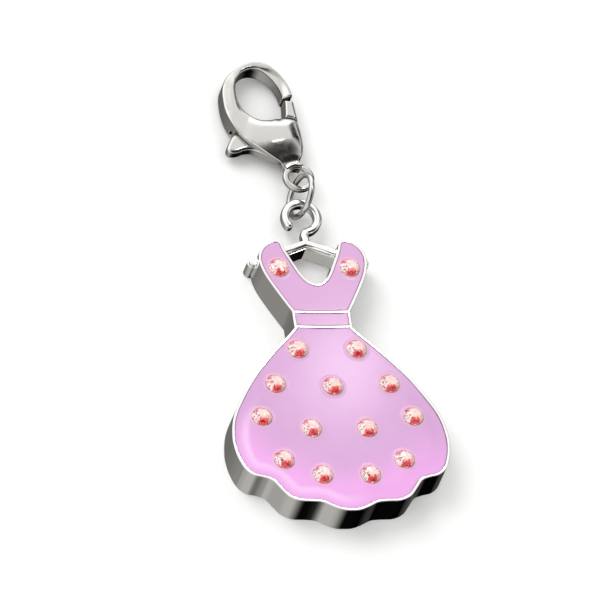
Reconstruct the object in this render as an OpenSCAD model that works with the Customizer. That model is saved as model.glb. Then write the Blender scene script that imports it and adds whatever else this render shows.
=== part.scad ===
/* [Dress] */
// Width of the dress across the skirt, which sets the size of the whole dress
dress_w = 18; // [17.5:0.1:18.5]
// Thickness of the dress from its flat back to the rim
dress_t = 3; // [2.6:0.1:3.4]
// Width of the raised metal rim round each enamel cell
rim_w = 0.22; // [0.2:0.02:0.34]
// Depth of the enamel cells below the rim
cell_depth = 0.55; // [0.4:0.05:0.8]

/* [Stones] */
// Diameter of a stone across its girdle
stone_d = 1.62; // [1.5:0.02:1.84]
// Height of the girdle above the rim
girdle_rise = 0.06; // [0:0.02:0.2]
// Height of the table above the girdle
crown_h = 0.3; // [0.25:0.01:0.4]
// Wall of the metal cup that holds a stone
cup_wall = 0.06; // [0.06:0.01:0.12]

/* [Hanger] */
// Front face of the hanger above the back of the dress
hanger_t = 1.85; // [1.8:0.05:1.95]
// Width of the hook's metal, seen from the front
hook_w = 0.68; // [0.6:0.02:0.7]
// Depth of the hook's metal, front to back
hook_t = 0.9; // [0.8:0.05:1]
// Radius of the hook's loop to the middle of its metal
hook_r = 1.34; // [1.32:0.01:1.36]

/* [Jump ring] */
// Radius of the jump ring to the middle of its wire
ring_r = 1.76; // [1.74:0.01:1.8]
// Diameter of the jump ring's wire
ring_wire = 0.47; // [0.42:0.01:0.5]

/* [Clasp] */
// Thickness of the clasp's body at the lever
clasp_t = 2.4; // [2.3:0.1:2.6]
// Thickness of the clasp's hook
clasp_hook_t = 1.8; // [1.6:0.1:2]
// Thickness of the lever
lever_t = 0.9; // [0.7:0.05:1]
// Thickness of the lever's arm where it closes the hook
gate_t = 1.45; // [1.2:0.05:1.6]
// Turn of the clasp on the surface, away from the dress's axis
clasp_turn = 12; // [8:1:14]

/* [Hidden] */
$fn = 64;

// Gap left between pieces that fit into each other
gap = 0.02;
// Overlap given to shapes that are joined or cut
lap = 0.1;

// The tables are drawn for a dress 18 mm wide and hold x and y from the hem's lowest point
unit = dress_w / 18;
skirt_edge = unit * [
    [0, 0],
    [0.7, 0.05],
    [1.45, 0.34],
    [2.3, 0.76],
    [3.2, 0.86],
    [4.2, 0.92],
    [5.05, 1.32],
    [5.65, 2.05],
    [6.2, 2.78],
    [6.9, 3.08],
    [7.7, 3.3],
    [8.35, 3.88],
    [8.78, 4.9],
    [8.98, 6],
    [8.98, 7],
    [8.7, 8.5],
    [8.02, 10],
    [6.55, 12.35],
    [4.7, 14.6],
    [3.2, 16.15],
    [2.42, 17]
];
bodice_edge = unit * [
    [2.42, 18.5],
    [3.55, 20.6],
    [4.25, 22.1],
    [4.5, 23.3],
    [4.3, 24.2],
    [3.72, 24.9],
    [2.95, 25.22],
    [2.42, 25],
    [2.2, 24.3],
    [1.7, 23.15],
    [1.15, 22],
    [0.62, 21.35],
    [0, 21.1]
];

// Middle heights of the two rims at the waist, which bow down by waist_bow in the middle
waist_low = 17.16 * unit;
waist_high = 18.54 * unit;
waist_bow = 0.1;
bow_r = pow(2.42 * unit, 2) / (2 * waist_bow);

// Places of the stones on one half of the dress, as x and y
strap_stone = unit * [2.95, 22.57];
middle_stone = unit * [0, 11.52];
side_stones = unit * [
    [2.44, 14.97],
    [4.74, 11.75],
    [6.29, 8.69],
    [2.32, 7.62],
    [5, 4.72],
    [1.99, 3.32]
];
skirt_stones = concat([middle_stone], [for (p = side_stones) each [p, flip(p)]]);
cup_places = concat(skirt_stones, [strap_stone, flip(strap_stone)]);
girdle_z = dress_t + girdle_rise;
girdle_h = 0.07;
pavilion_h = 0.62;
pocket_floor = girdle_z - pavilion_h - 0.1;
cell_floor = dress_t - cell_depth;
enamel_top = dress_t - 0.06;

// The hanger's bar is a shallow roof with round ends, and its front is stepped
bar_top = [[0.3, 25.92], [0, 25.97]] * unit;
bar_low = 25.2 * unit;
bar_end = [4.6, 23.85] * unit;
bar_end_r = 0.47;
bar_step_w = 0.1;
bar_step_t = 0.3;

// The hook is a loop, a short bend the other way, and a stem down to the bar
hook_at = [0.03, 28.13] * unit;
hook_start = -75;
hook_end = 211;
stem_x = 0.035;
bend_r = (hook_at[0] + hook_r * cos(hook_start) - stem_x) / (1 - cos(hook_start));
bend_at = hook_at + (hook_r + bend_r) * [cos(hook_start), sin(hook_start)];

// The jump ring stands on its edge through the hook and the clasp's eye, and leans a little to the right
ring_turn = -8;
ring_lean = 18;
ring_at = hook_at + [0.1, 1.84];
ring_z = ring_r * cos(ring_lean) + ring_wire / 2;

// The clasp lies turned about the middle of its eye, and its tables are measured from there
eye_at = hook_at + [0.35, 3.85];
eye_r = 1.06;
eye_w = 0.5;
eye_t = 0.95;
eye_z = 1.5;
neck_r = 1.1;
clasp_z = clasp_t / 2;
clasp_edge = [
    [0.65, 0.95],
    [0.48, 1.4],
    [0.72, 1.85],
    [1.05, 2.4],
    [1.27, 3.1],
    [1.34, 3.9],
    [1.4, 4.7],
    [1.62, 5.6],
    [1.86, 6.7],
    [1.91, 7.8],
    [1.72, 8.9],
    [1.25, 9.9],
    [0.6, 10.6],
    [-0.25, 10.9],
    [-1.2, 10.75],
    [-2.13, 10.43],
    [-2.95, 9.9],
    [-3.54, 9.12],
    [-3.88, 8.1],
    [-4.04, 7],
    [-4, 6],
    [-3.78, 5],
    [-3.4, 4.1],
    [-2.8, 3.2],
    [-2, 2.35],
    [-1.2, 1.6],
    [-0.8, 0.95]
];
hole_at = [-0.78, 7.83];
hole_r = [1.85, 2.42];
dome_at = [-0.9, 3.6];
dome_r = 12;

// The lever turns on a pin between the body's two cheeks, and its arm closes under the hook's tip
pivot = [-0.1, 2.6];
pin_d = 0.6;
pin_low = 0.12;
pin_top = clasp_t - 0.35;
web_r = 2.82;
tip = [1, 7.15];
lever_gap = 0.07;
gate_space = [[-0.7, 3], [3, 3], [3, 7.03], tip, [-0.7, 7.25]];
gate_end_r = norm(tip - pivot) - lever_gap;
slot_t = lever_t + 2 * lever_gap;
slot_low = 1.45;
slot_high = 5.1;
slot_side = -1.3;
cheek_shift = [0.5, 0.5];
cheek_cut_low = 0.3;
cheek_cut_z = 1.05;
lever_edge = [
    [-0.2, 1.58],
    [0.35, 1.56],
    [0.85, 1.75],
    [1.24, 2.36],
    [1.47, 3.2],
    [1.62, 4.2],
    [1.7, 5.2],
    [1.82, 6.2],
    [1.95, 7.2],
    [1.97, 7.7],
    [1.22, 7.7],
    [1.13, 6.95],
    [0.87, 6.1],
    [0.6, 5.3],
    [0.4, 4.6],
    [0, 3.9],
    [-0.7, 3.75],
    [-1.6, 4.15],
    [-2.5, 4.7],
    [-3.3, 4.98],
    [-4, 4.85],
    [-4.6, 4.3],
    [-4.98, 3.72],
    [-4.85, 3.34],
    [-4.25, 3.2],
    [-3.6, 3.3],
    [-3, 3.22],
    [-2.4, 2.85],
    [-1.6, 2.2],
    [-0.9, 1.75]
];

function flip(p) = [-p[0], p[1]];
function last(list, back = 1) = list[len(list) - back];

// A point at t between b and c on the smooth curve through a, b, c and d
function curve_point(a, b, c, d, t) =
    0.5 * (2 * b + (c - a) * t + (2 * a - 5 * b + 4 * c - d) * t * t + (3 * b - a - 3 * c + d) * t * t * t);

// A smooth curve through the points, led in by the point before and out by the point after
function curve(points, before, after, steps = 4) =
    let (p = concat([before], points, [after]))
    concat(
        [for (i = [1 : len(p) - 3]) for (k = [0 : steps - 1])
            curve_point(p[i - 1], p[i], p[i + 1], p[i + 2], k / steps)],
        [last(points)]
    );

// A smooth closed curve through the points
function closed_curve(points, steps = 4) =
    let (n = len(points))
    [for (i = [0 : n - 1]) for (k = [0 : steps - 1])
        curve_point(points[(i + n - 1) % n], points[i], points[(i + 1) % n], points[(i + 2) % n], k / steps)];

// A half outline that runs from the axis back to the axis, closed by its mirror image
function both_sides(half) = concat(half, [for (i = [len(half) - 2 : -1 : 1]) flip(half[i])]);

// The direction at right angles to the line from a to b, to its left
function left_of(a, b) = let (d = (b - a) / norm(b - a)) [-d[1], d[0]];

// An outline drawn anticlockwise, moved inwards by w all round
function inset(points, w) =
    let (n = len(points))
    [for (i = [0 : n - 1])
        let (u = left_of(points[(i + n - 1) % n], points[i]), v = left_of(points[i], points[(i + 1) % n]))
        points[i] + w * (u + v) / (1 + u * v)];

function ring_points(at, r, n = 72) = [for (i = [0 : n - 1]) at + [r[0] * cos(360 * i / n), r[1] * sin(360 * i / n)]];

// Points along an arc in n steps, from the first step to the last one that is wanted
function arc(at, r, from, to, n, first = 0, last = 0) =
    [for (k = [first : n - last]) let (a = from + (to - from) * k / n) at + r * [cos(a), sin(a)]];

skirt_curve = curve(skirt_edge, flip(skirt_edge[1]), 2 * last(skirt_edge) - last(skirt_edge, 2));
bodice_curve = curve(bodice_edge, 2 * bodice_edge[0] - bodice_edge[1], flip(last(bodice_edge, 2)));
dress_edge = both_sides(concat(skirt_curve, bodice_curve));
bar_edge = both_sides(concat([[0, bar_low]], arc(bar_end, bar_end_r, -112.8, 70.2, 12), bar_top));
hook_tip = hook_at + hook_r * [cos(hook_end), sin(hook_end)];
hook_edge = concat(
    arc(hook_at, hook_r + hook_w / 2, hook_start, hook_end, 40),
    arc(hook_tip, hook_w / 2, hook_end, hook_end + 180, 10, 1, 1),
    arc(hook_at, hook_r - hook_w / 2, hook_end, hook_start, 40),
    arc(bend_at, bend_r + hook_w / 2, hook_start + 180, 180, 8, 1),
    [[stem_x - hook_w / 2, bar_low + lap], [stem_x + hook_w / 2, bar_low + lap]],
    arc(bend_at, bend_r - hook_w / 2, 180, hook_start + 180, 8, 0, 1)
);
clasp_curve = closed_curve(clasp_edge);

// The middle of the whole length, from the hem to the top of the clasp's hook
clasp_top = max([for (p = clasp_curve) p * [sin(clasp_turn), cos(clasp_turn)]]);
mid_y = (eye_at[1] + clasp_top) / 2;

// The tables measure from the hem, and the part's origin is in the middle of its length
module placed() { translate([0, -mid_y, 0]) children(); }

// The clasp's own place on the surface
module clasp_placed() { placed() translate([eye_at[0], eye_at[1], 0]) rotate([0, 0, clasp_turn]) children(); }

module slab(z, h) { translate([0, 0, z]) linear_extrude(h) children(); }

// Everything above a waist line at the height y, which bows down in the middle
module above_waist(y) { translate([0, y - waist_bow + bow_r]) circle(r = bow_r, $fn = 240); }

// The three enamel cells, each shrunk by a gap on all sides
module skirt_cell(shrink = 0) {
    difference() {
        polygon(inset(dress_edge, rim_w + shrink));
        above_waist(waist_low - rim_w / 2 - shrink);
    }
}

module waist_cell(shrink = 0) {
    difference() {
        intersection() {
            polygon(inset(dress_edge, rim_w + shrink));
            above_waist(waist_low + rim_w / 2 + shrink);
        }
        above_waist(waist_high - rim_w / 2 - shrink);
    }
}

module bodice_cell(shrink = 0) {
    intersection() {
        polygon(inset(dress_edge, rim_w + shrink));
        above_waist(waist_high + rim_w / 2 + shrink);
    }
}

module cups(r, low, high) {
    for (p = cup_places) translate([p[0], p[1], low]) cylinder(r = r, h = high - low);
}

module hanger_bar() {
    slab(0, hanger_t - bar_step_t) polygon(bar_edge);
    slab(0, hanger_t) polygon(inset(bar_edge, bar_step_w));
}

module hanger_hook() { slab(hanger_t - hook_t, hook_t) polygon(hook_edge); }

module dress_casting() {
    color("silver") placed() union() {
        difference() {
            union() {
                difference() {
                    slab(0, dress_t) polygon(dress_edge);
                    slab(cell_floor, cell_depth + lap) skirt_cell();
                    slab(cell_floor, cell_depth + lap) waist_cell();
                    slab(cell_floor, cell_depth + lap) bodice_cell();
                }
                cups(stone_d / 2 + gap + cup_wall, cell_floor - lap, dress_t);
            }
            cups(stone_d / 2 + gap, pocket_floor, dress_t + lap);
        }
        hanger_bar();
        hanger_hook();
    }
}

// A plate of enamel in its cell, with a hole round each cup
module enamel() {
    color("plum") placed() difference() {
        slab(cell_floor + gap, enamel_top - cell_floor - gap) children();
        cups(stone_d / 2 + cup_wall + 2 * gap, cell_floor, dress_t);
    }
}

module enamel_skirt() { enamel() skirt_cell(gap); }
module enamel_waist() { enamel() waist_cell(gap); }
module enamel_bodice() { enamel() bodice_cell(gap); }

// A round cut stone: a table, 8 star facets, 8 kites, 16 facets along the girdle, and a plain point below
module stone(at) {
    r = stone_d / 2;
    table_r = 0.56 * r;
    star_r = 0.8 * r;
    star_z = crown_h * (r - star_r * cos(22.5)) / (r - table_r);
    table = [for (k = [0 : 7]) [table_r * cos(45 * k), table_r * sin(45 * k), crown_h]];
    stars = [for (k = [0 : 7]) [star_r * cos(45 * k + 22.5), star_r * sin(45 * k + 22.5), star_z]];
    girdle = [for (z = [0, -girdle_h]) for (k = [0 : 15]) [r * cos(22.5 * k), r * sin(22.5 * k), z]];
    faces = concat(
        [[for (k = [7 : -1 : 0]) k]],
        [for (k = [0 : 7]) [k, (k + 1) % 8, 8 + k]],
        [for (k = [0 : 7]) [k, 8 + k, 16 + 2 * k, 8 + (k + 7) % 8]],
        [for (k = [0 : 7]) [8 + k, 17 + 2 * k, 16 + 2 * k]],
        [for (k = [0 : 7]) [8 + k, 16 + (2 * k + 2) % 16, 17 + 2 * k]],
        [for (k = [0 : 15]) [16 + k, 16 + (k + 1) % 16, 32 + (k + 1) % 16, 32 + k]],
        [for (k = [0 : 15]) [32 + k, 32 + (k + 1) % 16, 48]]
    );
    color("lightpink") placed() translate([at[0], at[1], girdle_z])
        polyhedron(points = concat(table, stars, girdle, [[0, 0, -pavilion_h]]), faces = faces);
}

module jump_ring() {
    color("silver") placed() translate([ring_at[0], ring_at[1], ring_z])
        rotate([0, 0, ring_turn]) rotate([0, 90 + ring_lean, 0])
            rotate_extrude() translate([ring_r, 0]) circle(d = ring_wire);
}

// The clasp's outline without its hole and without the gap that the lever closes
module clasp_outline() {
    difference() {
        polygon(clasp_curve);
        polygon(ring_points(hole_at, hole_r));
        circle(r = neck_r);
        difference() {
            polygon(gate_space);
            translate(pivot) circle(r = web_r, $fn = 120);
        }
    }
}

module clasp_eye() {
    translate([0, 0, eye_z]) rotate_extrude() translate([eye_r, 0]) {
        square([eye_w, eye_t - eye_w], center = true);
        for (side = [-1, 1]) translate([0, side * (eye_t - eye_w) / 2]) circle(d = eye_w);
    }
}

// The band by which the back cheek is smaller than the front one, so that the lever's edge shows
module back_cheek_cut() {
    slab(-lap, cheek_cut_z + lap) difference() {
        translate([-6, cheek_cut_low]) square([6, slot_high + cheek_shift[1] - cheek_cut_low]);
        translate(cheek_shift) polygon(clasp_curve);
    }
}

module clasp_body() {
    color("silver") clasp_placed() difference() {
        union() {
            slab(clasp_z - clasp_hook_t / 2, clasp_hook_t) clasp_outline();
            intersection() {
                slab(0, clasp_t) clasp_outline();
                translate([dome_at[0], dome_at[1], clasp_t - dome_r]) sphere(r = dome_r, $fn = 200);
                translate([dome_at[0], dome_at[1], dome_r]) sphere(r = dome_r, $fn = 200);
            }
            clasp_eye();
        }
        translate([-6, slot_low, clasp_z - slot_t / 2]) cube([10, slot_high - slot_low, slot_t]);
        translate([slot_side, slot_high - lap, clasp_z - slot_t / 2]) cube([5, 1, slot_t]);
        translate([pivot[0], pivot[1], -lap]) cylinder(d = pin_d + 2 * gap, h = pin_top + gap + lap);
        back_cheek_cut();
    }
}

module clasp_pin() {
    color("gray") clasp_placed() translate([pivot[0], pivot[1], pin_low]) cylinder(d = pin_d, h = pin_top - pin_low);
}

// The lever's outline as far as its arm's end
module lever_outline() {
    difference() {
        polygon(closed_curve(lever_edge));
        difference() {
            translate([0, 6]) square(3);
            translate(pivot) circle(r = gate_end_r, $fn = 120);
        }
    }
}

// The arm is as thin as the slot between the cheeks, and thicker beyond them
module clasp_lever() {
    color("silver") clasp_placed() difference() {
        union() {
            slab(clasp_z - lever_t / 2, lever_t) lever_outline();
            slab(clasp_z - gate_t / 2, gate_t) difference() {
                intersection() {
                    lever_outline();
                    polygon(gate_space + [for (p = gate_space) [0, 1]]);
                }
                translate(pivot) circle(r = web_r + lever_gap, $fn = 120);
            }
        }
        translate([pivot[0], pivot[1], 0]) cylinder(d = pin_d + 4 * gap, h = clasp_t);
    }
}

dress_casting();
enamel_skirt();
enamel_waist();
enamel_bodice();
stone(strap_stone);  // stone_strap_right
stone(flip(strap_stone));  // stone_strap_left
for (i = [1 : 13]) stone(skirt_stones[i - 1]);
jump_ring();
clasp_body();
clasp_pin();
clasp_lever();
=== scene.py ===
import math
import random

import bmesh
import bpy
from mathutils import Matrix, Vector
from mathutils.bvhtree import BVHTree


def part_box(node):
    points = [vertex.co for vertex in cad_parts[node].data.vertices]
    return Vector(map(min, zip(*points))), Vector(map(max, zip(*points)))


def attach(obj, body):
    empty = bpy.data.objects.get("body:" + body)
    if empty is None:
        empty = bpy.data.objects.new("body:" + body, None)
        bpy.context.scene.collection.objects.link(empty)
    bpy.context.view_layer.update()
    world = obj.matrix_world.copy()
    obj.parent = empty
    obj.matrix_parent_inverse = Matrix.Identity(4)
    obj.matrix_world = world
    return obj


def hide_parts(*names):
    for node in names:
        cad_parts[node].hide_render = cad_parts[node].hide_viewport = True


bpy.ops.wm.read_factory_settings(use_empty=True)
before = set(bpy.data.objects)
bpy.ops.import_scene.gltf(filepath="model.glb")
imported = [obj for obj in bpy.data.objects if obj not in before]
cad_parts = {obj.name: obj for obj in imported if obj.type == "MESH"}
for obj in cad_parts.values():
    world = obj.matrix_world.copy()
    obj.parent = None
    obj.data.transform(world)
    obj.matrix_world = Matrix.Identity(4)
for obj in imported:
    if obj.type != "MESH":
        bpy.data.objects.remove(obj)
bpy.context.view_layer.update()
scene = bpy.context.scene
MM = 0.001

# The photograph's viewing direction, the direction that is up in it, its middle point and its width there
VIEW = Vector((0.2644, 0.4925, -0.8291)).normalized()
UP = Vector((0, 0.8597, 0.5107))
AIM = Vector((-1.1118, -0.7887, 1.4131)) * MM
FRAME_WIDTH = 48.24 * MM
# A very long lens keeps parallel edges parallel, as they are in the photograph
LENS, SENSOR_WIDTH = 1500, 36

# From here on sizes are in millimetres. The dress's front face, and the outside of the cup round each stone
DRESS_TOP = 3.0
CUP_RADIUS = 0.89
STONES = sorted(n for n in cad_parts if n.startswith("stone_"))

# The hanger: its bar's front and step, where the bar shows in the neckline, and the hook's low end and reach
BAR_FRONT, BAR_STEP = 1.85, 1.55
BAR_SHOWN_FROM = 2.8
HOOK_LOW, HOOK_REACH = 4.75, 2.2
# How far the casting's edges are turned over
CUP_EDGE, BAR_STEP_EDGE, RIM_EDGE, PLAIN_EDGE, BAR_LOW_EDGE, HOOK_EDGE = 0.015, 0.04, 0.045, 0.06, 0.2, 0.28

# The jump ring: its radius to the middle of its wire, the wire, and how it is turned and leans, in degrees
RING_RADIUS, RING_WIRE = 1.76, 0.47
RING_TURN, RING_LEAN = -8, 18

# The clasp's own frame: the middle of its eye, its turn on the floor, its middle height, its hole and its pin
EYE = Vector((0.38, 10.678, 0))
CLASP_TURN = math.radians(12)
CLASP_MIDDLE = 1.2
HOLE, HOLE_RADII = Vector((-0.78, 7.83)), Vector((1.85, 2.42))
PIVOT = Vector((-0.1, 2.6))
# The body's side that the lever's arm lies along is right of this x and below this y
LEVER_SIDE = Vector((0.2, 5.7))
# Stretches in which one part of the clasp's body turns into the next: out from its eye, and up to its hook
EYE_TO_NECK = 1.3, 1.9
BODY_TO_HOOK, BODY_TO_HOOK_LEDGE = (6, 8.5), (6.1, 7)
# The same for the hook's right arm, across, for its left arm, across and along, and for its top
RIGHT_ARM = 0, 1.4
LEFT_ARM, LEFT_ARM_LOW = (-0.6, -2.6), (5, 7)
HOOK_TOP = 8.5, 10.5
# Where the neck begins, and how far it runs down towards the eye
NECK_TOP, NECK_LENGTH = 3.3, 1.9
# How fine the skins are that are drawn over the rounded pieces
ENAMEL_SKIN, BODY_SKIN, LEVER_SKIN = 0.075, 0.05, 0.045

# The Mix node's sockets for colours
COLOUR_A, COLOUR_B, COLOUR_OUT = 6, 7, 2


def srgb(code):
    """An sRGB hex colour as linear red, green, blue and alpha."""
    parts = [int(code[i:i + 2], 16) / 255 for i in (1, 3, 5)]
    return tuple(c / 12.92 if c <= 0.04045 else ((c + 0.055) / 1.055) ** 2.4 for c in parts) + (1.0,)


def add(tree, kind, inputs=(), stops=(), **settings):
    """Adds a node with its settings, values or links for its inputs, and a ramp's (position, hex) stops."""
    made = tree.nodes.new(kind)
    for key, value in settings.items():
        setattr(made, key, value)
    for place, (position, code) in enumerate(stops):
        elements = made.color_ramp.elements
        element = elements[place] if place < len(elements) else elements.new(position)
        element.position = position
        element.color = srgb(code)
    for socket, value in dict(inputs).items():
        if isinstance(value, bpy.types.NodeSocket):
            tree.links.new(value, made.inputs[socket])
        else:
            made.inputs[socket].default_value = value
    return made


def new_material(name):
    """A material with an empty node tree."""
    material = bpy.data.materials.new(name)
    material.use_nodes = True
    tree = material.node_tree
    tree.nodes.clear()
    return material, tree


def pattern_scale(size):
    """The scale of a pattern whose marks are this many millimetres across."""
    return 1 / (size * MM)


def polished_plate(name, tint, roughness, ripple, ripple_height):
    """Nickel and rhodium plate over a tumbled zinc casting: mirror-bright, with slow waves from buffing."""
    material, tree = new_material(name)
    haze_size = 0.35
    place = add(tree, "ShaderNodeTexCoord").outputs["Object"]
    wave = add(tree, "ShaderNodeTexNoise", {
        "Vector": place, "Scale": pattern_scale(ripple), "Detail": 1.0})
    haze = add(tree, "ShaderNodeTexNoise", {
        "Vector": place, "Scale": pattern_scale(haze_size), "Detail": 3.0})
    rough = add(tree, "ShaderNodeMapRange", {
        "Value": haze.outputs["Fac"], "From Min": 0.3, "From Max": 0.7,
        "To Min": roughness * 0.8, "To Max": roughness * 1.3})
    bump = add(tree, "ShaderNodeBump", {
        "Height": wave.outputs["Fac"], "Strength": 0.6, "Distance": ripple_height * MM})
    shader = add(tree, "ShaderNodeBsdfPrincipled", {
        "Base Color": srgb(tint), "Metallic": 1.0, "Roughness": rough.outputs["Result"],
        "Normal": bump.outputs["Normal"]})
    add(tree, "ShaderNodeOutputMaterial", {"Surface": shader.outputs["BSDF"]})
    return material


def lavender_enamel():
    """Soft enamel poured into the cells and cured: glossy and a little domed. Its colour holds painted light:
    a pinker painted brightening along the hem, a pale painted highlight along its fold at the left, and a
    faint pink painted glow round each stone."""
    material, tree = new_material("cured_lavender_enamel")
    cloud_size, flow_size, flow_depth = 4.0, 1.6, 0.01
    halo_strength = 0.8
    place = add(tree, "ShaderNodeTexCoord").outputs["Object"]
    hem_light = add(tree, "ShaderNodeAttribute", attribute_name="painted_hem_light").outputs["Fac"]
    lit = add(tree, "ShaderNodeAttribute", attribute_name="stone_glow").outputs["Fac"]
    fold_highlight = add(tree, "ShaderNodeAttribute", attribute_name="painted_fold_highlight").outputs["Fac"]
    cloud = add(tree, "ShaderNodeTexNoise", {
        "Vector": place, "Scale": pattern_scale(cloud_size), "Detail": 2.0})
    body = add(tree, "ShaderNodeValToRGB", {"Fac": cloud.outputs["Fac"]}, [
        (0.3, "#C896C6"), (0.7, "#CC9ACA")])
    # Painted light: the colour turns pinker and lighter near the hem, a painted brightening
    edge = add(tree, "ShaderNodeMix", {
        "Factor": hem_light, COLOUR_A: body.outputs["Color"], COLOUR_B: srgb("#E6A0E1")}, data_type="RGBA")
    # Painted light: a pale painted highlight along the fold at the left
    line = add(tree, "ShaderNodeMix", {
        "Factor": fold_highlight, COLOUR_A: edge.outputs[COLOUR_OUT], COLOUR_B: srgb("#F2C6F0")}, data_type="RGBA")
    # Painted light: a faint pink painted glow of the stones round each cup
    near = add(tree, "ShaderNodeMath", {0: lit, 1: halo_strength}, operation="MULTIPLY").outputs["Value"]
    halo = add(tree, "ShaderNodeMix", {
        "Factor": near, COLOUR_A: line.outputs[COLOUR_OUT], COLOUR_B: srgb("#E6B8D2")}, data_type="RGBA")
    flow = add(tree, "ShaderNodeTexNoise", {
        "Vector": place, "Scale": pattern_scale(flow_size), "Detail": 1.0})
    bump = add(tree, "ShaderNodeBump", {
        "Height": flow.outputs["Fac"], "Strength": 0.3, "Distance": flow_depth * MM})
    shader = add(tree, "ShaderNodeBsdfPrincipled", {
        "Base Color": halo.outputs[COLOUR_OUT], "Roughness": 0.32, "IOR": 1.5,
        "Coat Weight": 0.6, "Coat Roughness": 0.16,
        "Normal": bump.outputs["Normal"], "Coat Normal": bump.outputs["Normal"]})
    add(tree, "ShaderNodeOutputMaterial", {"Surface": shader.outputs["BSDF"]})
    return material


def painted_facet_glass():
    """Cut rose glass over a foil: each facet's colour is painted, the glass's own rose and red together with
    painted reflections, painted highlights and painted shade, from white to red.
    """
    material, tree = new_material("rose_glass_with_painted_facets")
    tone = add(tree, "ShaderNodeAttribute", attribute_name="facet_colour_and_painted_light").outputs["Color"]
    shader = add(tree, "ShaderNodeBsdfPrincipled", {
        "Base Color": tone, "Roughness": 0.12, "IOR": 1.56, "Coat Weight": 0.5, "Coat Roughness": 0.03})
    add(tree, "ShaderNodeOutputMaterial", {"Surface": shader.outputs["BSDF"]})
    return material


def matt_paper():
    """Plain white paper under the charm, pressed and uncoated: an even white with no gloss."""
    material, tree = new_material("matt_white_paper")
    fibre_size = 2.0
    place = add(tree, "ShaderNodeTexCoord").outputs["Object"]
    fibre = add(tree, "ShaderNodeTexNoise", {
        "Vector": place, "Scale": pattern_scale(fibre_size), "Detail": 4.0})
    white = add(tree, "ShaderNodeValToRGB", {"Fac": fibre.outputs["Fac"]}, [
        (0.3, "#F9F9F8"), (0.7, "#FBFBFA")])
    shader = add(tree, "ShaderNodeBsdfPrincipled", {
        "Base Color": white.outputs["Color"], "Roughness": 0.95, "Specular IOR Level": 0.0})
    add(tree, "ShaderNodeOutputMaterial", {"Surface": shader.outputs["BSDF"]})
    return material


def merged_copy(node):
    """The CAD node's mesh as a bmesh with its doubles merged, in millimetres."""
    bm = bmesh.new()
    bm.from_mesh(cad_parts[node].data)
    bmesh.ops.scale(bm, vec=(1 / MM,) * 3, verts=bm.verts)
    bmesh.ops.remove_doubles(bm, verts=bm.verts, dist=0.0005)
    return bm


def mesh_object(name, bm):
    """A new object that takes the bmesh over."""
    mesh = bpy.data.meshes.new(name)
    bm.to_mesh(mesh)
    bm.free()
    obj = bpy.data.objects.new(name, mesh)
    scene.collection.objects.link(obj)
    return obj


def apply_modifiers(obj):
    """Leaves the object with the mesh that its modifiers make."""
    seen = obj.evaluated_get(bpy.context.evaluated_depsgraph_get())
    mesh = bpy.data.meshes.new_from_object(seen)
    obj.modifiers.clear()
    obj.data = mesh
    mesh.name = obj.name
    return obj


def skinned(obj, voxel, rounds=0):
    """Wraps the object in an even fine skin, and smooths it in a number of rounds."""
    skin = obj.modifiers.new("skin", "REMESH")
    skin.mode = "VOXEL"
    skin.voxel_size = voxel
    if rounds:
        wear = obj.modifiers.new("wear", "SMOOTH")
        wear.factor = 0.5
        wear.iterations = rounds
    return apply_modifiers(obj)


def dress(obj, material, body, node, sharp=None):
    """A piece's last steps: metres, smooth faces, its finish, and the body and node it goes with."""
    obj.data.transform(Matrix.Scale(MM, 4))
    obj.data.materials.clear()
    obj.data.materials.append(material)
    obj.data.shade_smooth()
    if sharp is not None:
        obj.data.set_sharp_from_angle(angle=math.radians(sharp))
    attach(obj, body)
    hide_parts(node)


def centre(node):
    """The middle of the CAD node's box."""
    low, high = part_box(node)
    return (low + high) / 2 / MM


def smoothstep(low, high, value):
    """0 at low and 1 at high, eased at both ends."""
    t = min(max((value - low) / (high - low), 0), 1)
    return t * t * (3 - 2 * t)


def bell(value, middle, spread):
    """1 at the middle value, falling away to both sides."""
    return math.exp(-((value - middle) / spread) ** 2)


def nearness(away, reach):
    """1 at an edge, falling evenly to 0 where the reach ends."""
    return 1 - min(away, reach) / reach


def round_over(away, radius, kept):
    """The share of its height that a face keeps at a distance from its edge, along a quarter ellipse."""
    return kept + (1 - kept) * math.sqrt(1 - nearness(away, radius) ** 2)


def upright_walls(node, wanted):
    """The CAD node's upright walls that are wanted, as a tree that finds the nearest one."""
    bm = merged_copy(node)
    bm.normal_update()
    other = [f for f in bm.faces if abs(f.normal.z) > 0.4 or not wanted(f)]
    bmesh.ops.delete(bm, geom=other, context="FACES")
    tree = BVHTree.FromBMesh(bm) if bm.faces else None
    bm.free()
    return tree


def away_from(walls, point):
    """How far the point is from the nearest of the walls, seen from above."""
    if walls is None:
        return math.inf
    return (walls.find_nearest(point)[0].xy - point.xy).length


def in_clasp(point):
    """A point of the part in the clasp's own frame."""
    return Matrix.Rotation(-CLASP_TURN, 3, "Z") @ (point - EYE)


def turned_over(edge, cups):
    """How far an edge of the casting is turned over. Upright edges and shallow ones are left as they are."""
    level, steep, cup_margin = 0.01, math.radians(50), 0.08
    if len(edge.link_faces) != 2 or edge.calc_face_angle() < steep:
        return 0
    a, b = (v.co for v in edge.verts)
    middle = (a + b) / 2
    if abs(a.z - b.z) > level:
        return 0
    if abs(a.z - DRESS_TOP) < level:
        from_cup = min((middle.xy - c.xy).length for c in cups) - CUP_RADIUS
        return CUP_EDGE if from_cup < cup_margin else RIM_EDGE
    if a.z < level:
        return PLAIN_EDGE
    if middle.y > HOOK_LOW and abs(middle.x) < HOOK_REACH:
        return HOOK_EDGE
    if a.z > BAR_FRONT - level:
        # The bar's lower edge is turned over more than its other edges where it shows
        lower = any(abs(f.normal.z) < 0.5 and f.normal.y < -0.6 for f in edge.link_faces)
        return BAR_LOW_EDGE if lower and middle.y > BAR_SHOWN_FROM else PLAIN_EDGE
    return BAR_STEP_EDGE if a.z > BAR_STEP - level else 0


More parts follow.
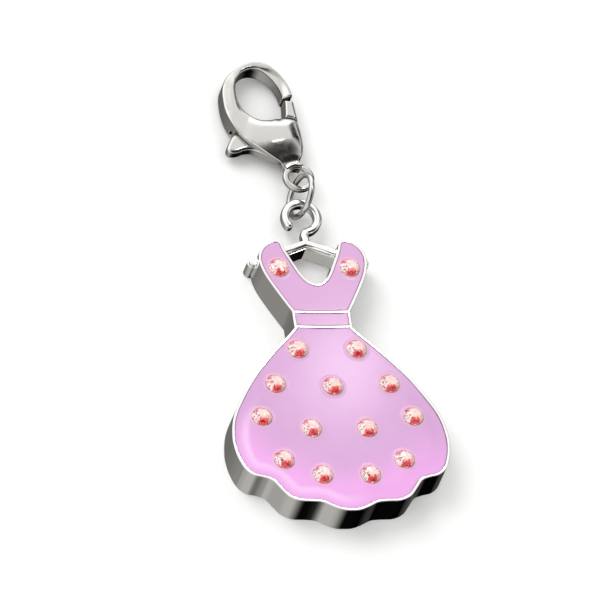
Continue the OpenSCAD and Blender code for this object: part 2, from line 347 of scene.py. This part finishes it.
def casting(material):
    """The plated casting: the CAD solid with its level edges turned over, each as far as suits its place."""
    bm = merged_copy("dress_casting")
    bmesh.ops.dissolve_limit(bm, angle_limit=math.radians(0.5), verts=bm.verts, edges=bm.edges)
    bm.normal_update()
    cups = [centre(n) for n in STONES]
    weight = bm.edges.layers.float.new("bevel_weight_edge")
    for edge in bm.edges:
        edge[weight] = turned_over(edge, cups) / HOOK_EDGE
    obj = mesh_object("plated_casting", bm)
    bevel = obj.modifiers.new("turned_edges", "BEVEL")
    bevel.limit_method = "WEIGHT"
    bevel.affect = "EDGES"
    bevel.width = HOOK_EDGE
    bevel.segments = 4
    bevel.material = -1
    bevel.profile = 0.5
    bevel.use_clamp_overlap = False
    apply_modifiers(obj)
    bm = bmesh.new()
    bm.from_mesh(obj.data)
    bmesh.ops.triangulate(bm, faces=[f for f in bm.faces if len(f.verts) > 4])
    bm.to_mesh(obj.data)
    bm.free()
    dress(obj, material, "charm", "dress_casting", sharp=50)
    even = obj.modifiers.new("even_shading", "WEIGHTED_NORMAL")
    even.keep_sharp = True


def enamel(name, node, material, swell, pale=0.0):
    """A fine skin over the CAD plate: its top swells, but not along the lower rim, and climbs to the cups."""
    cups = [centre(n).xy for n in STONES]

    def at_rim(face):
        from_cup = min((face.calc_center_median().xy - c).length for c in cups) - CUP_RADIUS
        return from_cup >= 0.05

    rim = upright_walls(node, at_rim)
    obj = skinned(mesh_object(name, merged_copy(node)), ENAMEL_SKIN)
    # The climb to a cup starts this far out, ends this far above the rims, and draws the skin in this far
    climb_reach, climb_top, drawn_in = 0.16, 0.02, 0.065
    cup_gap, top_layer = 0.02, 0.1
    # Stretches down to the skirt's lower part and to its hem, across to its left, and in from its rim
    low_part, hem_part, left_part, swell_begins = (-9.5, -13.5), (-12, -18), (2.5, -1.5), (0.5, 1.5)
    # The painted highlight along the fold by the hem: its distance from the rim, its spread inwards and
    # outwards, and its strength
    fold_at, fold_inner, fold_outer, fold_strength = 0.9, 0.27, 0.42, 0.7
    # The painted brightening along the hem is strongest this far from the rim, and spreads this far
    hem_light_at, hem_light_spread = 1.2, 1.9
    glow_spread = 0.13
    shades = {"painted_hem_light": [], "stone_glow": [], "painted_fold_highlight": []}
    top = max(v.co.z for v in obj.data.vertices)
    for v in obj.data.vertices:
        x, y = v.co.xy
        away = rim.find_nearest(v.co)[3]
        cup_middle = min(cups, key=lambda c: (v.co.xy - c).length)
        out = v.co.xy - cup_middle
        from_cup = max(out.length - CUP_RADIUS - cup_gap, 0)
        low_side = smoothstep(*low_part, y - 0.1 * x)
        hem_side = smoothstep(*hem_part, y + 0.1 * x)
        left_side = smoothstep(*left_part, x + 0.35 * (y + 20))
        fold_spread = fold_inner if away > fold_at else fold_outer
        fold_highlight = fold_strength * bell(away, fold_at, fold_spread)
        # Painted light in the colour: brightening along the hem, a glow round the stones (never below pale),
        # and a highlight along the fold at the lower left
        shades["painted_hem_light"].append(bell(away, hem_light_at, hem_light_spread) * hem_side)
        shades["stone_glow"].append(max(pale, bell(from_cup, 0, glow_spread)))
        shades["painted_fold_highlight"].append(fold_highlight * low_side * left_side)
        if v.co.z > top - top_layer:
            climb = 1 - smoothstep(0, climb_reach, from_cup)
            v.co.z += swell * (1 - low_side * (1 - smoothstep(*swell_begins, away)))
            v.co.z += climb * (DRESS_TOP + climb_top - v.co.z)
            v.co.xy = cup_middle + out * (1 - drawn_in * climb / out.length)
    for title, values in shades.items():
        obj.data.attributes.new(title, "FLOAT", "POINT").data.foreach_set("value", values)
    obj.data.update()
    dress(obj, material, "charm", node)


# A stone: the CAD stone's facets, split into small ones that take their colour from where they lie, the
# glass's own rose and red with painted highlights, painted reflections and painted shade
FACET_COLOURS_AND_PAINTED_LIGHT = {
    "white": "#F2E3E1", "cream": "#EDD1C9", "peach": "#EBB6B0", "coral": "#E3706A", "rose": "#D5597B",
    "crimson": "#BF1A45", "red": "#D40000", "garnet": "#A60000", "dark": "#65000D", "speck": "#B0A09B",
    "mauve": "#8E6F7C"}


def facet_colour_and_painted_light(x, y, rng):
    """The painted colour of a facet at x, y, which run from -1 to 1 across the stone: the glass's rose and
    red with painted highlights and painted shade. Its first zone counts.
    """
    radius, angle = math.hypot(x, y), math.degrees(math.atan2(y, x)) % 360
    # The red arc at the top
    if 75 < angle < 155 and radius > 0.76:
        return rng.choice(("crimson", "rose", "rose", "crimson", "peach"))
    # Two dark points at the left, painted shade
    if math.hypot(x + 0.54, y - 0.44) < 0.13 or math.hypot(x + 0.38, y + 0.02) < 0.11:
        return "mauve"
    # The grey line along the right edge, painted shade, and the rose arc above it
    if (angle > 285 or angle < 50) and radius > 0.955:
        return rng.choice(("speck", "mauve", "speck"))
    if 10 < angle < 75 and radius > 0.88:
        return rng.choice(("rose", "speck", "white", "rose"))
    # The white facets at the left, painted highlights
    if 150 < angle < 232 and radius > 0.4:
        return rng.choice(("white", "white", "white", "white", "peach", "rose", "white", "cream", "dark"))
    # The red patch low in the middle, the edge below it, and the coral facets beside it
    if -0.95 < y < -0.36 and -0.5 < x < 0.45:
        return rng.choice(("red", "coral", "red", "coral", "garnet", "crimson", "coral"))
    if 225 < angle < 330 and radius > 0.84:
        return rng.choice(("white", "coral", "peach", "coral", "rose"))
    if y < -0.2 and x > -0.55:
        return rng.choice(("coral", "peach", "peach", "peach", "cream"))
    # The rest of the edge, and the pale middle, a painted reflection
    if radius > 0.6:
        return rng.choice(("white", "rose", "cream", "peach", "white", "cream"))
    return rng.choice(("cream", "cream", "cream", "peach", "white", "cream"))


def stones(material):
    """The stones, each a little wider than its CAD solid, with its crown's facets raised and split."""
    wider, relief = 1.045, 0.035
    tones = {name: srgb(code) for name, code in FACET_COLOURS_AND_PAINTED_LIGHT.items()}

    def on_crown(face):
        return face.normal.z > 0.3

    for node in STONES:
        rng = random.Random(node)
        bm = merged_copy(node)
        middle = centre(node)
        radius = max(v.co.x for v in bm.verts) - middle.x
        bmesh.ops.dissolve_limit(bm, angle_limit=math.radians(1), verts=bm.verts, edges=bm.edges)
        for v in bm.verts:
            v.co.xy = middle.xy + wider * (v.co.xy - middle.xy)
        bm.normal_update()
        bmesh.ops.poke(bm, faces=[f for f in bm.faces if on_crown(f)], offset=relief)
        inner = [e for e in bm.edges if all(on_crown(f) for f in e.link_faces)]
        bmesh.ops.subdivide_edges(bm, edges=inner, cuts=1, use_grid_fill=True)
        bmesh.ops.triangulate(bm, faces=[f for f in bm.faces if on_crown(f)])
        layer = bm.loops.layers.float_color.new("facet_colour_and_painted_light")
        for face in bm.faces:
            at = (face.calc_center_median() - middle) / radius
            tone = tones[facet_colour_and_painted_light(at.x, at.y, rng)]
            for loop in face.loops:
                loop[layer] = tone
        dress(mesh_object("rose_" + node, bm), material, "charm", node, sharp=1)


def jump_ring(material):
    """Round wire bent to a ring: a circle spun about the ring's axis, then leaned as the CAD ring is."""
    bm = bmesh.new()
    bmesh.ops.create_circle(bm, segments=28, radius=RING_WIRE / 2)
    bmesh.ops.rotate(bm, cent=(0, 0, 0), matrix=Matrix.Rotation(math.pi / 2, 3, "X"), verts=bm.verts)
    bmesh.ops.translate(bm, vec=(RING_RADIUS, 0, 0), verts=bm.verts)
    bmesh.ops.spin(bm, geom=bm.verts[:] + bm.edges[:], cent=(0, 0, 0), axis=(0, 0, 1), angle=2 * math.pi,
                   steps=120, use_merge=True)
    bmesh.ops.remove_doubles(bm, verts=bm.verts, dist=1e-4)
    bmesh.ops.recalc_face_normals(bm, faces=bm.faces)
    lean = Matrix.Rotation(math.radians(90 + RING_LEAN), 3, "Y")
    turn = Matrix.Rotation(math.radians(RING_TURN), 3, "Z")
    bmesh.ops.rotate(bm, cent=(0, 0, 0), matrix=turn @ lean, verts=bm.verts)
    bmesh.ops.translate(bm, vec=centre("jump_ring"), verts=bm.verts)
    dress(mesh_object("wire_ring", bm), material, "charm", "jump_ring")


def in_hole(p):
    """Whether a place in the clasp's frame is in the hook's hole or at its wall."""
    margin = 1.12
    return ((p.x - HOLE.x) / HOLE_RADII.x) ** 2 + ((p.y - HOLE.y) / HOLE_RADII.y) ** 2 < margin ** 2


def by_lever(p):
    """Whether a place in the clasp's frame is on the side that the lever's arm lies along."""
    return p.x > LEVER_SIDE.x and p.y < LEVER_SIDE.y and not in_hole(p)


def clasp_walls(side, zone):
    """The body's walls in a zone that reach its front (side 1) or back (side -1), without the pin's hole."""

    def wanted(face):
        reach = max(side * (v.co.z - CLASP_MIDDLE) for v in face.verts)
        middle = in_clasp(face.calc_center_median())
        return reach >= 0.6 and (middle.xy - PIVOT).length >= 0.5 and zone(middle)

    return upright_walls("clasp_body", wanted)


def clasp_height(p, side, height, from_hole, from_lever_side, from_outside):
    """The height over its middle that the clasp's body keeps at p, given how far its walls are from there."""
    past_eye = smoothstep(*EYE_TO_NECK, p.xy.length)
    hook = smoothstep(*BODY_TO_HOOK, p.y)
    right_arm = hook * smoothstep(*RIGHT_ARM, p.x) if side > 0 else 0
    left_arm = smoothstep(*LEFT_ARM, p.x) * smoothstep(*LEFT_ARM_LOW, p.y) if side > 0 else 0
    # The walls stay upright up to the ledge, and the neck falls away to the eye
    ledge = 0.56 - 0.31 * smoothstep(*BODY_TO_HOOK_LEDGE, p.y) - 0.15 * right_arm
    down_neck = min(max(NECK_TOP - p.y, 0), NECK_LENGTH) / NECK_LENGTH
    share = 1 - 0.97 * down_neck ** 1.3
    hole_round, hole_kept = 0.85 - 0.6 * hook + 0.75 * right_arm, 0.2 + 0.1 * hook - 0.25 * right_arm
    lever_round, lever_kept = 1.15, 0.1
    outer_round, outer_kept = 0.12, 0.8 if side > 0 else 1.0
    share *= round_over(from_hole, hole_round, hole_kept)
    share *= round_over(from_lever_side, lever_round, lever_kept)
    share *= round_over(from_outside, outer_round, outer_kept)
    # The left arm slopes evenly to its outer edge, and the hook's top a little to the hole
    share *= 1 - 0.27 * left_arm * nearness(from_outside, 0.75)
    share *= 1 - 0.1 * smoothstep(*HOOK_TOP, p.y) * nearness(from_hole, 0.8) ** 2
    body_height = height if height < ledge else ledge + (height - ledge) * share
    eye_height = height * (0.5 if side > 0 else 1)
    return past_eye * body_height + (1 - past_eye) * eye_height


def clasp_body(material):
    """The clasp's body: front and back fall away in long rounds to hole, lever's side and neck."""
    obj = skinned(mesh_object("clasp_hook_and_cheeks", merged_copy("clasp_body")), BODY_SKIN, rounds=2)
    zones = (in_hole, by_lever, lambda p: not in_hole(p) and not by_lever(p))
    walls = {side: [clasp_walls(side, zone) for zone in zones] for side in (1, -1)}
    for v in obj.data.vertices:
        p = in_clasp(v.co)
        side = 1 if p.z > CLASP_MIDDLE else -1
        height = abs(p.z - CLASP_MIDDLE)
        distances = [away_from(tree, v.co) for tree in walls[side]]
        v.co.z += side * (clasp_height(p, side, height, *distances) - height)
    skinned(obj, BODY_SKIN, rounds=7)
    dress(obj, material, "charm", "clasp_body")


def clasp_lever(material):
    """The lever: a flat arm with rounded edges, and a thumb tab that is rounder than the arm."""
    obj = skinned(mesh_object("clasp_thumb_lever", merged_copy("clasp_lever")), LEVER_SKIN, rounds=2)
    walls = upright_walls("clasp_lever", lambda f: True)
    # Its walls stay upright up to the ledge. The tab begins at the left, and is rounder than the arm
    ledge, arm_round, tab_adds, tab_begins = 0.1, 0.25, 0.15, (-2, -3)
    front_kept, back_kept = 0.4, 0.85
    for v in obj.data.vertices:
        p = in_clasp(v.co)
        height = p.z - CLASP_MIDDLE
        if abs(height) > ledge:
            radius = arm_round + tab_adds * smoothstep(*tab_begins, p.x)
            share = round_over(away_from(walls, v.co), radius, front_kept if height > 0 else back_kept)
            v.co.z = CLASP_MIDDLE + math.copysign(ledge + (abs(height) - ledge) * share, height)
    skinned(obj, LEVER_SKIN, rounds=8)
    dress(obj, material, "lever", "clasp_lever")


def hinge_pin(material):
    """The pin as it is, but for its front end, which stays inside the cheek where that falls away."""
    front = 1.7
    bm = merged_copy("clasp_pin")
    for v in bm.verts:
        v.co.z = min(v.co.z, front)
    dress(mesh_object("hinge_pin", bm), material, "charm", "clasp_pin", sharp=40)


def camera():
    """The photograph's view, from far away."""
    data = bpy.data.cameras.new("photo_view")
    data.lens = LENS
    data.sensor_width = SENSOR_WIDTH
    distance = FRAME_WIDTH * LENS / SENSOR_WIDTH
    data.clip_start, data.clip_end = distance / 50, distance * 10
    right = VIEW.cross(UP).normalized()
    up = right.cross(VIEW)
    obj = bpy.data.objects.new("photo_view", data)
    turned = Matrix((right, up, -VIEW)).transposed().to_4x4()
    obj.matrix_world = Matrix.Translation(AIM - VIEW * distance) @ turned
    scene.collection.objects.link(obj)
    scene.camera = obj


def towards(azimuth, elevation):
    """The direction at these degrees, anticlockwise from +X and up from the floor."""
    a, e = math.radians(azimuth), math.radians(elevation)
    return Vector((math.cos(a) * math.cos(e), math.sin(a) * math.cos(e), math.sin(e)))


def studio():
    """Plain soft white light all round, and for reflections a white tent over a dark table edge."""
    world = bpy.data.worlds.new("soft_studio")
    scene.world = world
    world.use_nodes = True
    tree = world.node_tree
    tree.nodes.clear()
    direction = add(tree, "ShaderNodeTexCoord").outputs["Generated"]
    height = add(tree, "ShaderNodeSeparateXYZ", {"Vector": direction}).outputs["Z"]
    around = add(tree, "ShaderNodeTexGradient", {"Vector": direction}, gradient_type="RADIAL").outputs["Fac"]

    def placed(stops):
        """Stops given by compass degrees, anticlockwise from +X, as places on the radial gradient."""
        return sorted((((degrees + 180) % 360) / 360, code) for degrees, code in stops)

    def patch(azimuth, elevation, inner, outer):
        """1 within the inner angle of a direction, and 0 beyond the outer one."""
        near = add(tree, "ShaderNodeVectorMath", {0: direction, 1: towards(azimuth, elevation)},
                   operation="DOT_PRODUCT")
        return add(tree, "ShaderNodeMapRange", {
            "Value": near.outputs["Value"], "From Min": math.cos(math.radians(outer)),
            "From Max": math.cos(math.radians(inner))}, interpolation_type="SMOOTHSTEP").outputs["Result"]

    table_edge = add(tree, "ShaderNodeValToRGB", {"Fac": around}, placed([
        (62, "#686764"), (118, "#6B6A68"), (138, "#757471"), (162, "#878582"), (190, "#A09E9A"),
        (220, "#B0AEAB"), (250, "#AEADA9"), (268, "#7C7A76"), (281, "#51504E"), (292, "#070707"),
        (342, "#020202"), (352, "#2F2E2D"), (20, "#3F3E3C"), (45, "#474644")])).outputs["Color"]
    tent = add(tree, "ShaderNodeValToRGB", {"Fac": around}, placed([
        (0, "#D8D7D5"), (50, "#FFFFFF"), (90, "#FFFFFF"), (150, "#F6F5F3"), (230, "#FFFFFF"),
        (300, "#D8D7D5")])).outputs["Color"]
    crest = add(tree, "ShaderNodeMapRange", {"Value": height, "From Min": 0.88, "From Max": 0.96},
                interpolation_type="SMOOTHSTEP").outputs["Result"]
    roofed = add(tree, "ShaderNodeMix", {
        "Factor": crest, COLOUR_A: tent, COLOUR_B: srgb("#CFCECC")}, data_type="RGBA")
    dark = srgb("#1E1D1C")
    # The dark camera side, which shows wherever the metal falls away towards the viewer
    camera_side = patch(312, 48, 22, 46)
    shaded = add(tree, "ShaderNodeMix", {
        "Factor": camera_side, COLOUR_A: roofed.outputs[COLOUR_OUT], COLOUR_B: dark}, data_type="RGBA")
    # A dark gap of the tent at the right, which draws dark streaks along the right flanks
    gap = patch(32, 25, 10, 20)
    seamed = add(tree, "ShaderNodeMix", {
        "Factor": gap, COLOUR_A: shaded.outputs[COLOUR_OUT], COLOUR_B: dark}, data_type="RGBA")
    rise = add(tree, "ShaderNodeMapRange", {"Value": height, "From Min": -0.3, "From Max": 0.12},
               interpolation_type="SMOOTHSTEP").outputs["Result"]
    seen = add(tree, "ShaderNodeMix", {
        "Factor": rise, COLOUR_A: table_edge, COLOUR_B: seamed.outputs[COLOUR_OUT]}, data_type="RGBA")
    reflected = add(tree, "ShaderNodeBackground", {"Color": seen.outputs[COLOUR_OUT], "Strength": 1.2})
    # The lamp's own bright side of the tent, which shows on the edges that turn up and to the left
    lamp_strength = 0.75
    low_side, high_side = patch(85, 20, 16, 32), patch(131, 40, 14, 29)
    sides = add(tree, "ShaderNodeMath", {0: low_side, 1: high_side}, operation="MAXIMUM")
    bright = add(tree, "ShaderNodeMath", {0: sides.outputs["Value"], 1: lamp_strength}, operation="MULTIPLY")
    lamp_side = add(tree, "ShaderNodeBackground", {
        "Color": srgb("#FFFFFF"), "Strength": bright.outputs["Value"]})
    shown = add(tree, "ShaderNodeAddShader", {
        0: reflected.outputs["Background"], 1: lamp_side.outputs["Background"]})
    plain = add(tree, "ShaderNodeBackground", {"Color": srgb("#FFFFFF"), "Strength": 0.9})
    glossy = add(tree, "ShaderNodeLightPath").outputs["Is Glossy Ray"]
    mixed = add(tree, "ShaderNodeMixShader", {
        0: glossy, 1: plain.outputs["Background"], 2: shown.outputs["Shader"]})
    add(tree, "ShaderNodeOutputWorld", {"Surface": mixed.outputs["Shader"]})


def area_light(name, at, aim, size, power):
    """A round soft lamp that is turned to a point."""
    data = bpy.data.lights.new(name, "AREA")
    data.shape = "DISK"
    data.size = size
    data.energy = power
    obj = bpy.data.objects.new(name, data)
    obj.location = at
    obj.rotation_euler = (aim - at).to_track_quat("-Z", "Y").to_euler()
    scene.collection.objects.link(obj)
    return obj


def floor():
    """The paper that the charm lies on. The metal reflects the table edge in its place."""
    reach = 2000
    bm = bmesh.new()
    bmesh.ops.create_grid(bm, x_segments=1, y_segments=1, size=reach)
    obj = mesh_object("paper_floor", bm)
    obj.data.transform(Matrix.Scale(MM, 4))
    obj.data.materials.append(matt_paper())
    obj.visible_glossy = False


def lamps():
    """The two lamps, both turned to a spot on the upper skirt."""
    # A small soft lamp over the dress, whose mirror image is the soft spot in the upper skirt
    spot = Vector((1.2, -8.4, 3.0)) * MM
    mirror = Vector((VIEW.x, VIEW.y, -VIEW.z))
    area_light("spot_lamp", spot + mirror * (70 * MM), spot, size=6 * MM, power=0.0014)
    # The large soft lamp at the upper left, which throws the faint shadows to the right
    soft = area_light("soft_lamp", spot + towards(140, 50) * (300 * MM), spot, size=200 * MM, power=0.32)
    soft.visible_glossy = False


scene.view_settings.view_transform = "Standard"
camera()
studio()
floor()
lamps()
casting_plate = polished_plate(
    "plated_casting_metal", "#E9E8E6", roughness=0.07, ripple=2.5, ripple_height=0.004)
clasp_plate = polished_plate(
    "plated_clasp_metal", "#C6C5C1", roughness=0.17, ripple=1.5, ripple_height=0.006)
enamel_finish = lavender_enamel()
casting(casting_plate)
enamel("skirt_enamel", "enamel_skirt", enamel_finish, swell=0.048)
enamel("waist_enamel", "enamel_waist", enamel_finish, swell=0.03, pale=0.25)
enamel("bodice_enamel", "enamel_bodice", enamel_finish, swell=0.05, pale=0.2)
stones(painted_facet_glass())
jump_ring(clasp_plate)
clasp_body(clasp_plate)
clasp_lever(clasp_plate)
hinge_pin(clasp_plate)
